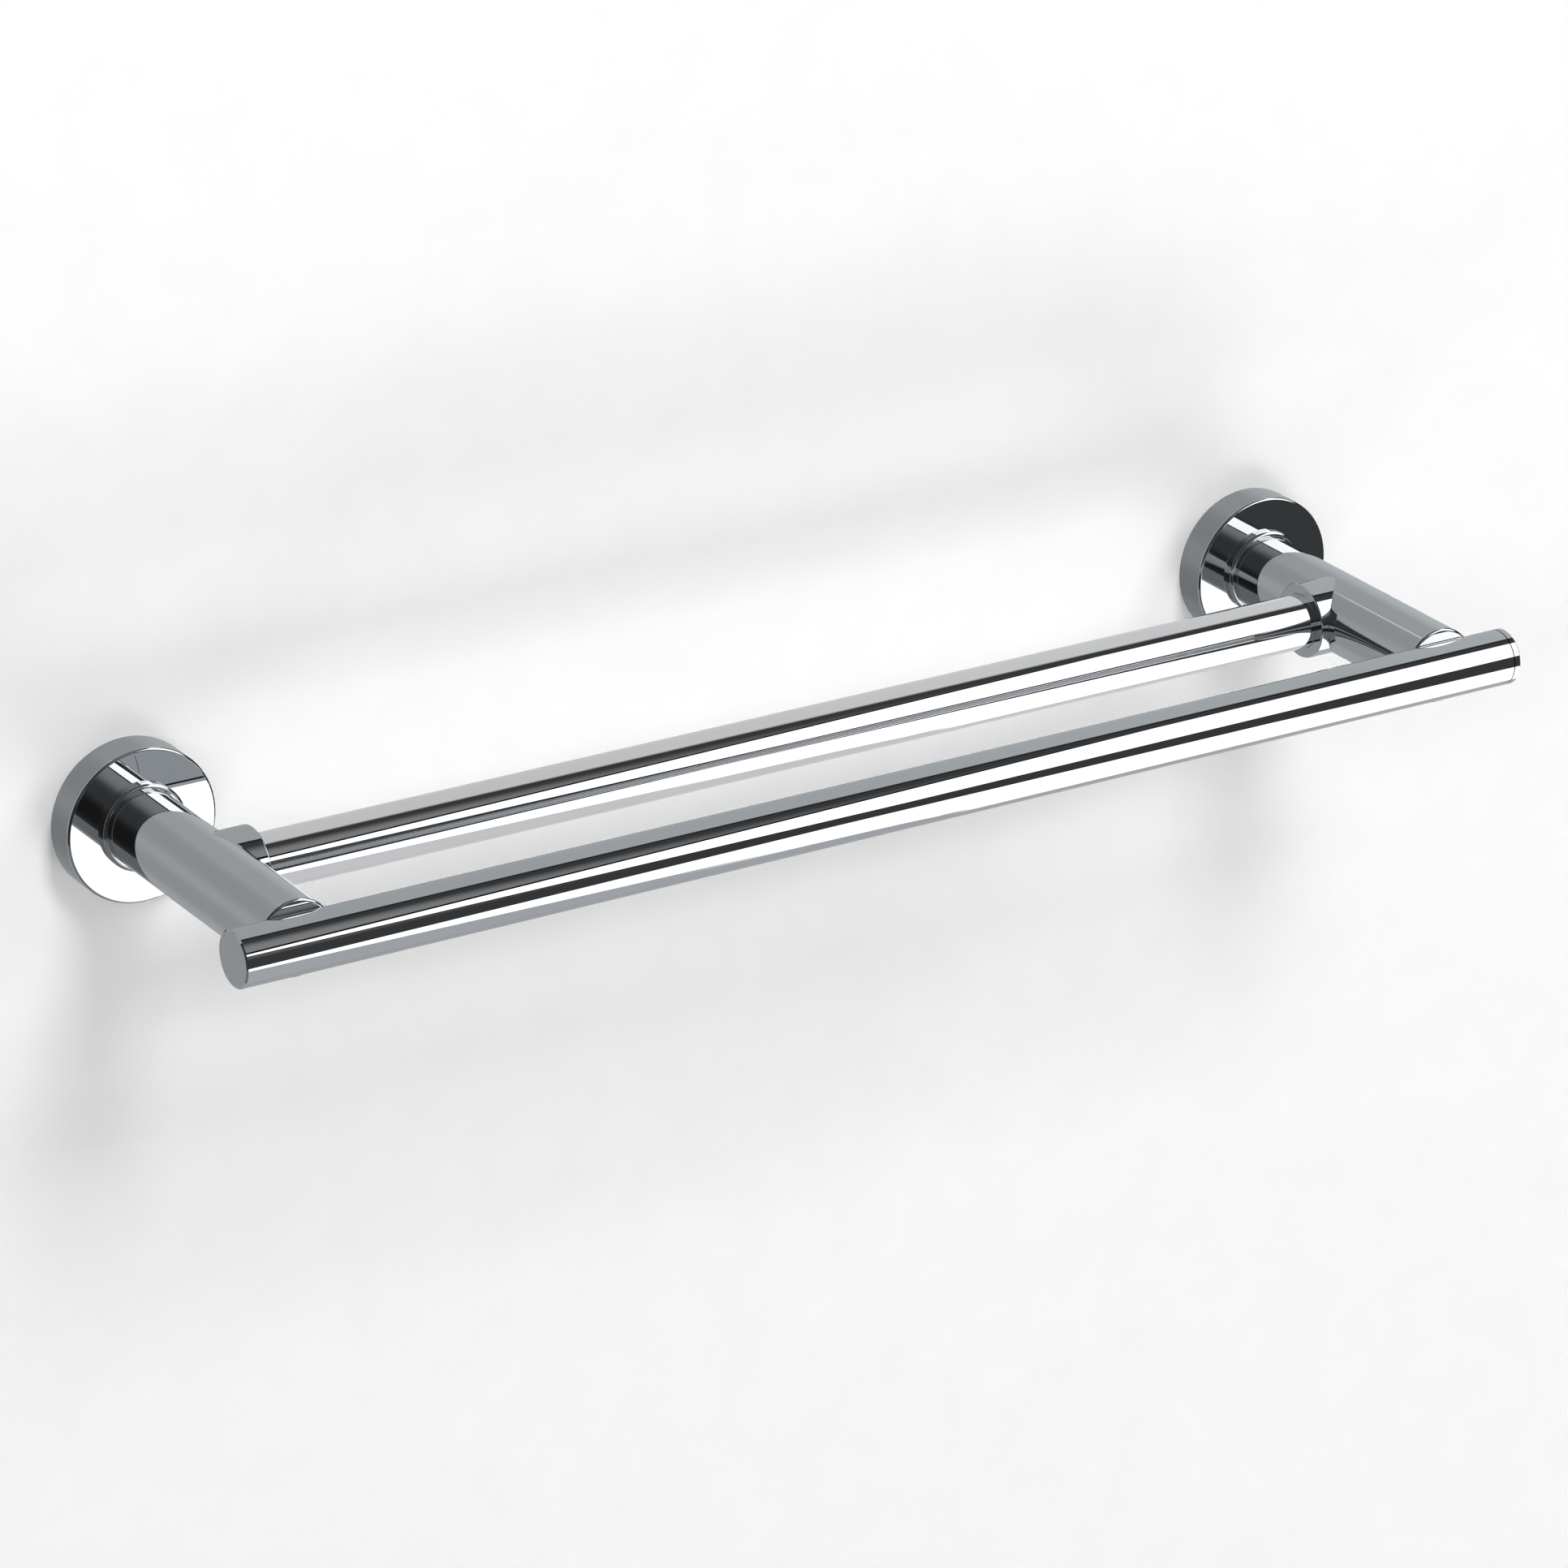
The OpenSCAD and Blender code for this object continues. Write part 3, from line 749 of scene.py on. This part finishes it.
def make_cap(side):
    axis, skin, turns = along_axis(0.0, FRONT_Y, -SIDES[side]), Skin(), full_turn(BAR_COLUMNS)
    plug = BAR_R - BAR_WALL - GAP
    low, seam, end = FRONT_HALF - PLUG_L, FRONT_HALF + SEAM[side], FRONT_HALF + CAP_T
    hidden = outline([(0.0, low, 0, 3), (plug, low, PLUG_EDGE), (plug, seam, 0), (BAR_R, seam, 0)],
                     closed=False, steps=6)
    # the plug and seam face take slot 1, the near-black painted shade of the seam
    revolve(skin, axis, hidden, turns, 1)
    shown = outline([(BAR_R, seam, 0), (BAR_R, end - CAP_EDGE, 0), (BAR_R - CAP_EDGE, end, 0, 6),
                     (0.0, end, 0)], closed=False)
    revolve(skin, axis, shown, turns)
    place(skin, "cap_skin_" + side, "end_cap_" + side, [CHROME, RECESS_PAINTED_SHADE], "chrome")


for side in SIDES:
    make_rose(side)
    make_bead(side)
    make_arm(side)
    make_socket(side)
    make_cap(side)
make_bar("front_bar_skin", "front_bar", FRONT_Y, FRONT_HALF, hole_at=abs(ARM_X["left"]))
make_bar("rear_bar_skin", "rear_bar", REAR_Y, REAR_HALF)

CAD_LOOKS = {"wall_bracket": (BRACKET, "bracket_steel"), "tie_bolt": (STEEL, "fastener_steel"),
             "tie_washer": (STEEL, "fastener_steel"), "saddle_screw": (STEEL, "fastener_steel"),
             "rose_grub": (DARK_STEEL, "grub_steel"), "socket_grub": (DARK_STEEL, "grub_steel"),
             "wall_screws": (ZINC, "screw_zinc"), "bar_insert": (BRASS, "insert_brass")}


def finish_cad_nodes():
    for stem, (material, slot) in CAD_LOOKS.items():
        for side in SIDES:
            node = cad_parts[stem + "_" + side]
            node.data.materials.clear()
            node.data.materials.append(material)


finish_cad_nodes()


# ---------------------------------------------------------------------------
# Studio
# ---------------------------------------------------------------------------
CAMERA_AT = (-1.2709, -2.1284, 0.9952)
CAMERA_TURN, CAMERA_DOWN = 31.471, 22.649  # degrees
CAMERA_LENS, SENSOR = 173.66, 36.0  # millimetres
STAGE_HALF, FLOOR_Z = 6.0, -1.0
PANEL_LIGHT = 1.5
PANEL_OUT = 2.038  # wall plane to the plane of the light panels; their outlines below are (x, z)
UPPER_PANEL = [(0.62, 0.95), (1.10, 0.40), (1.90, 0.52), (4.2, 0.9), (4.2, 5.4), (3.62, 5.4)]
LOWER_PANEL = [(0.60, -0.957), (1.06, -0.47), (1.43, -0.68), (1.61, -0.93), (6.4, -6.6), (13.0, -20.0),
               (11.53, -20.0)]
UPPER_RIM = [(0.50, 0.97), (1.07, 0.33), (1.90, 0.45), (4.2, 0.82), (4.2, 5.4), (3.50, 5.4)]
LOWER_RIM = [(0.56, -0.95), (1.055, -0.41), (1.43, -0.62), (1.47, -0.66), (1.43, -0.72), (1.06, -0.55)]
RIM_GAP = 0.02  # the black rims lie this far behind the panels
GLEAM = (0.25, 0.235, 0.225)
GLEAM_HALF, GLEAM_LOW, GLEAM_OUT = 5.0, -1.5, 1.9
FIRST_IMAGE = 1.5  # below this glossy depth a thing is mirrored directly, above it in an image
LIGHTS = [("key_above", 0.2, 2.3, (0.9, 1.5), 70.0),  # name, x, z, size, power
          ("key_below", 1.15, -1.75, (1.5, 1.0), 33.0),
          ("side_right", 3.6, 2.4, (1.6, 2.6), 128.0),
          ("low_left", -3.6, -3.6, (1.8, 1.8), 58.0),
          ("low_right", 3.4, -4.2, (1.6, 1.2), 38.0),
          ("side_left", -2.4, 1.0, (3.2, 0.6), 27.0)]


def make_camera():
    data = bpy.data.cameras.new("camera")
    data.lens, data.sensor_width = CAMERA_LENS, SENSOR
    data.clip_start, data.clip_end = 0.05, 60.0
    camera = bpy.data.objects.new("camera", data)
    camera.location = CAMERA_AT
    camera.rotation_euler = (math.radians(90 - CAMERA_DOWN), 0.0, math.radians(-CAMERA_TURN))
    bpy.context.scene.collection.objects.link(camera)
    bpy.context.scene.camera = camera


def flat_piece(name, points, material):
    mesh = bpy.data.meshes.new(name)
    mesh.from_pydata(points, [], [list(range(len(points)))])
    mesh.materials.append(material)
    piece = bpy.data.objects.new(name, mesh)
    bpy.context.scene.collection.objects.link(piece)
    return piece


def one_sided(name, low, high, rough):
    """Plain painted surface that shows only from its front."""
    m = Nodes.of_material(name)
    where = m.add("ShaderNodeTexCoord").outputs["Object"]
    paint = m.add("ShaderNodeBsdfPrincipled", Roughness=rough)
    m.link(m.ramp(m.noise(where, 40.0, 4.0), [(0.3, grey(low)), (0.7, grey(high))]),
           paint.inputs["Base Color"])
    clear = m.add("ShaderNodeBsdfTransparent")
    mix = m.add("ShaderNodeMixShader")
    m.link(m.add("ShaderNodeNewGeometry").outputs["Backfacing"], mix.inputs[0])
    m.link(paint.outputs[0], mix.inputs[1])
    m.link(clear.outputs[0], mix.inputs[2])
    m.link(mix.outputs[0], m.out.inputs["Surface"])
    return m.owner


def glow(name, strength, tint):
    m = Nodes.of_material(name)
    light = m.add("ShaderNodeEmission", Color=(*tint, 1.0), Strength=strength)
    m.link(light.outputs[0], m.out.inputs["Surface"])
    return m.owner


def seen_only_in_gloss(piece):
    piece.visible_camera = False
    piece.visible_diffuse = False
    piece.visible_shadow = False
    piece.visible_transmission = False
    piece.visible_volume_scatter = False


def make_stage():
    paint = one_sided("wall_paint", 0.90, 0.92, 0.9)
    s, low = STAGE_HALF, FLOOR_Z
    wall = flat_piece("wall", [(-s, 0, low), (s, 0, low), (s, 0, s), (-s, 0, s)], paint)
    wall.visible_glossy = False
    floor = flat_piece("floor", [(-s, -s, low), (s, -s, low), (s, 0, low), (-s, 0, low)],
                       one_sided("floor_paint", 0.80, 0.84, 0.8))
    floor.visible_glossy = False
    floor.visible_shadow = False
    white = glow("panel_glow", PANEL_LIGHT, (1.0, 1.0, 1.0))
    for name, shape in (("upper_panel", UPPER_PANEL), ("lower_panel", LOWER_PANEL)):
        seen_only_in_gloss(flat_piece(name, [(x, -PANEL_OUT, z) for x, z in shape], white))
    black = glow("rim_black", 1.0, (0.003, 0.003, 0.003))
    for name, shape in (("upper_rim", UPPER_RIM), ("lower_rim", LOWER_RIM)):
        seen_only_in_gloss(flat_piece(name, [(x, -PANEL_OUT - RIM_GAP, z) for x, z in shape], black))


def make_wall_gleam():
    """Pale wall light that only the rear bar mirrors, as it stands close to the wall; an image of the
    bar in another piece doesn't show it."""
    m = Nodes.of_material("wall_gleam")
    light = m.add("ShaderNodeEmission", Color=(*GLEAM, 1.0))
    bounces = m.add("ShaderNodeLightPath").outputs["Glossy Depth"]
    m.link(m.math("LESS_THAN", bounces, FIRST_IMAGE), light.inputs["Strength"])
    both = m.add("ShaderNodeAddShader")
    m.link(light.outputs[0], both.inputs[0])
    m.link(m.add("ShaderNodeBsdfTransparent").outputs[0], both.inputs[1])
    m.link(both.outputs[0], m.out.inputs["Surface"])
    s, low, out = GLEAM_HALF, GLEAM_LOW, -GLEAM_OUT
    group = bpy.data.collections.new("gleam_receivers")
    group.objects.link(bpy.data.objects["rear_bar_skin"])
    for name, points in (("wall_gleam", [(-s, MM, low), (s, MM, low), (s, MM, s), (-s, MM, s)]),
                         ("floor_gleam", [(-s, out, low), (s, out, low), (s, MM, low), (-s, MM, low)])):
        gleam = flat_piece(name, points, m.owner)
        seen_only_in_gloss(gleam)
        gleam.light_linking.receiver_collection = group


def make_light(name, x, z, size, power):
    """Soft rectangle in the plane of the light panels, facing the wall; it lights but isn't mirrored."""
    data = bpy.data.lights.new(name, "AREA")
    data.shape, data.size, data.size_y, data.energy = "RECTANGLE", size[0], size[1], power
    light = bpy.data.objects.new(name, data)
    light.location = (x, -PANEL_OUT, z)
    light.rotation_euler = (math.pi / 2, 0.0, 0.0)
    light.visible_glossy = False
    light.visible_camera = False
    bpy.context.scene.collection.objects.link(light)


def way(azimuth, elevation):
    """Azimuth 0 is straight out of the wall, 90 towards +X."""
    a, e = math.radians(azimuth), math.radians(elevation)
    return (math.sin(a) * math.cos(e), -math.cos(a) * math.cos(e), math.sin(e))


# ---- what the chrome mirrors besides the panels: tones, and where they change by direction ----
GLOW_WAY, ABOVE_WAY, DEEP_WAY = way(8.0, 37.0), way(32.0, 32.0), way(-34.0, -6.0)
ROOM_DARK = grey(0.043, (1.0, 1.04, 1.08))
ROOM_GLOW = grey(0.24, (1.0, 1.02, 1.04))
ROOM_ABOVE = grey(0.25, (1.0, 1.01, 1.02))
ROOM_DEEP = grey(0.012)
ROOM_LOW = grey(0.44, (0.96, 1.0, 1.04))
ROOM_LOW_LEFT = grey(0.17, (0.96, 1.0, 1.04))
PANEL_WHITE = grey(PANEL_LIGHT)
ROOM_STREAK = grey(0.70)
WALL_TINT = (0.955, 1.0, 1.03)
ROOM_WALL = grey(0.385, WALL_TINT)
ROOM_WALL_RIGHT = grey(0.50, WALL_TINT)
ROOM_WALL_DIP = grey(0.325, WALL_TINT)
WALL_DIPS = [(-0.38, 0.787, 0.486), (-0.486, 0.787, -0.38)]

GLOW_X = (-0.35, 0.50)  # the glow in front fades in towards the right
ABOVE_X, ABOVE_Z = (0.40, 0.56), (0.34, 0.44)  # the one above fades out to the right, and in upwards
GROUND_X = (0.0, 0.33)  # the ground is darker at the left
GROUND_DOWN = (0.425, 0.44)
SPILL_SLOPE, SPILL_EDGE, SPILL_DOWN = 0.578, (0.0, 0.004), (0.80, 0.81)  # white at the lower right
RIGHT_WHITE_X, RIGHT_WHITE_Z = (0.565, 0.58), (0.32, 0.36)  # white at the upper right
TOP_DARK_Y, TOP_DARK_Z = (-0.02, 0.0), (0.3, 0.4)  # the dark line where the room meets the wall
UNDER_DARK_Y, UNDER_DARK_DOWN = (-0.16, -0.14), (0.3, 0.4)  # and the one below, only in images
WALL_RIGHT_X, WALL_END_X, WALL_Y = (0.36, 0.66), (0.68, 0.72), (0.05, 0.11)
STREAK_PLANE, STREAK_WIDTH = (0.989, 0.146), (0.012, 0.026)  # a thin light line for the right arm
STREAK_Z, STREAK_Y = (0.4, 0.5), (0.753, 0.757)
FILL = 0.13
BACKDROP = 0.72


def room_in_front(m, direction, x, y, z):
    """A dim room with two glows and a dark spot, grey ground and white spill, by direction."""
    front = m.times(m.toward(direction, GLOW_WAY, 0.0, 34.0), m.step(x, *GLOW_X))
    room = m.mix(front, ROOM_DARK, ROOM_GLOW)
    above = m.times(m.toward(direction, ABOVE_WAY, 4.0, 38.0), m.less(m.step(x, *ABOVE_X)))
    room = m.mix(m.times(above, m.step(z, *ABOVE_Z)), room, ROOM_ABOVE)
    room = m.mix(m.toward(direction, DEEP_WAY, 4.0, 26.0), room, ROOM_DEEP)
    down = m.times(z, -1.0)
    ground = m.mix(m.step(x, *GROUND_X), ROOM_LOW_LEFT, ROOM_LOW)
    room = m.mix(m.step(down, *GROUND_DOWN), room, ground)
    past_slope = m.step(m.math("SUBTRACT", x, m.times(down, SPILL_SLOPE)), *SPILL_EDGE)
    room = m.mix(m.times(past_slope, m.step(down, *SPILL_DOWN)), room, PANEL_WHITE)
    room = m.mix(m.times(m.step(x, *RIGHT_WHITE_X), m.step(z, *RIGHT_WHITE_Z)), room, PANEL_WHITE)
    room = m.mix(m.times(m.step(y, *TOP_DARK_Y), m.step(z, *TOP_DARK_Z)), room, ROOM_DEEP)
    image = m.math("GREATER_THAN", m.add("ShaderNodeLightPath").outputs["Glossy Depth"], FIRST_IMAGE)
    under = m.times(m.step(y, *UNDER_DARK_Y), m.step(down, *UNDER_DARK_DOWN))
    return m.mix(m.times(image, under), room, ROOM_DEEP)


def room_wall(m, direction, x, y, z):
    """The grey wall behind the rail, lighter to the right, with two dips and a thin light streak."""
    wall = m.mix(m.step(x, *WALL_RIGHT_X), ROOM_WALL, ROOM_WALL_RIGHT)
    for aim in WALL_DIPS:
        wall = m.mix(m.toward(direction, aim, 0.0, 24.0), wall, ROOM_WALL_DIP)
    plane = m.math("ADD", m.times(x, STREAK_PLANE[0]), m.times(z, STREAK_PLANE[1]))
    streak = m.less(m.step(m.math("ABSOLUTE", plane, 0.0), *STREAK_WIDTH))
    streak = m.times(streak, m.step(z, *STREAK_Z))
    streak = m.times(streak, m.less(m.step(y, *STREAK_Y)))
    wall = m.mix(streak, wall, ROOM_STREAK)
    return m.mix(m.step(x, *WALL_END_X), wall, ROOM_DEEP)


def make_world():
    """Mirrored rays see the room; camera rays a pale backdrop; everything else an even pale fill."""
    world = bpy.data.worlds.new("room")
    bpy.context.scene.world = world
    m = Nodes(world, "ShaderNodeOutputWorld")
    direction = m.add("ShaderNodeTexCoord").outputs["Generated"]
    parts = m.add("ShaderNodeSeparateXYZ")
    m.link(direction, parts.inputs[0])
    x, y, z = parts.outputs
    low = room_in_front(m, direction, x, y, z)
    wall = room_wall(m, direction, x, y, z)
    gloss = m.add("ShaderNodeBackground", Strength=1.0)
    m.link(m.mix(m.step(y, *WALL_Y), low, wall), gloss.inputs["Color"])
    fill = m.add("ShaderNodeBackground", Color=(1.0, 1.0, 1.0, 1.0), Strength=FILL)
    backdrop = m.add("ShaderNodeBackground", Color=(1.0, 1.0, 1.0, 1.0), Strength=BACKDROP)
    path = m.add("ShaderNodeLightPath")
    shader = fill
    for ray, seen in (("Is Glossy Ray", gloss), ("Is Camera Ray", backdrop)):
        choose = m.add("ShaderNodeMixShader")
        m.link(path.outputs[ray], choose.inputs[0])
        m.link(shader.outputs[0], choose.inputs[1])
        m.link(seen.outputs[0], choose.inputs[2])
        shader = choose
    m.link(shader.outputs[0], m.out.inputs["Surface"])


make_camera()
make_stage()
make_wall_gleam()
make_world()
for light in LIGHTS:
    make_light(*light)
bpy.context.scene.view_settings.view_transform = "Standard"
bpy.context.scene.view_settings.look = "None"
